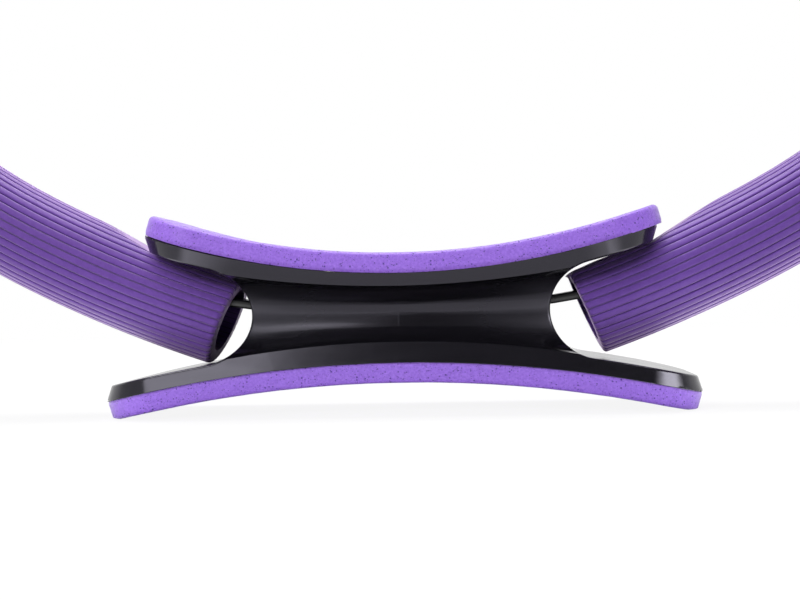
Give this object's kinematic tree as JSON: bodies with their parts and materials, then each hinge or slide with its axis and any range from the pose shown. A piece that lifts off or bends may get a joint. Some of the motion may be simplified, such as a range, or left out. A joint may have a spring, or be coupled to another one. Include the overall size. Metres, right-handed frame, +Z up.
{
  "type": "pilates ring",
  "caption": "Flexible exercise ring of flat spring bands in ribbed foam sleeves, with a padded hourglass handle at the top and bottom that is squeezed between palms or legs.",
  "frame": {"origin": "middle of the underside, on the floor under the lower handle, with the ring upright", "axes": "+X to the right along the handles, +Y away from the viewer through the ring, +Z up from the lower handle to the upper one"},
  "size_m": [0.3666, 0.045, 0.364],
  "materials": {
    "handle_plastic": "moulded, semi-gloss black",
    "pad_foam": "fine closed-cell foam, matt",
    "sleeve_foam": "extruded ribbed foam, satin",
    "band_steel": "black enamel",
    "screw_steel": "zinc plated",
    "adhesive_sheet": "translucent tape"
  },
  "bodies": {
    "lower_handle": {"lower_handle_body": "handle_plastic", "lower_inner_pad": "pad_foam", "lower_outer_pad": "pad_foam", "lower_inner_pad_tape": "adhesive_sheet", "lower_outer_pad_tape": "adhesive_sheet", "lower_left_middle_screw": "screw_steel", "lower_left_end_screw": "screw_steel", "lower_right_middle_screw": "screw_steel", "lower_right_end_screw": "screw_steel", "left_spring_band": "band_steel", "right_spring_band": "band_steel", "left_foam_sleeve": "sleeve_foam", "right_foam_sleeve": "sleeve_foam"},
    "upper_handle": {"upper_handle_body": "handle_plastic", "upper_inner_pad": "pad_foam", "upper_outer_pad": "pad_foam", "upper_inner_pad_tape": "adhesive_sheet", "upper_outer_pad_tape": "adhesive_sheet", "upper_left_middle_screw": "screw_steel", "upper_left_end_screw": "screw_steel", "upper_right_middle_screw": "screw_steel", "upper_right_end_screw": "screw_steel"}
  },
  "joints": [
    {"name": "squeeze", "type": "slide", "parent": "lower_handle", "child": "upper_handle", "axis": [0, 0, -1], "range_m": [-0.02, 0.08], "stiffness_N_per_m": 2800, "deforming": ["left_spring_band", "right_spring_band", "left_foam_sleeve", "right_foam_sleeve"]}
  ]
}
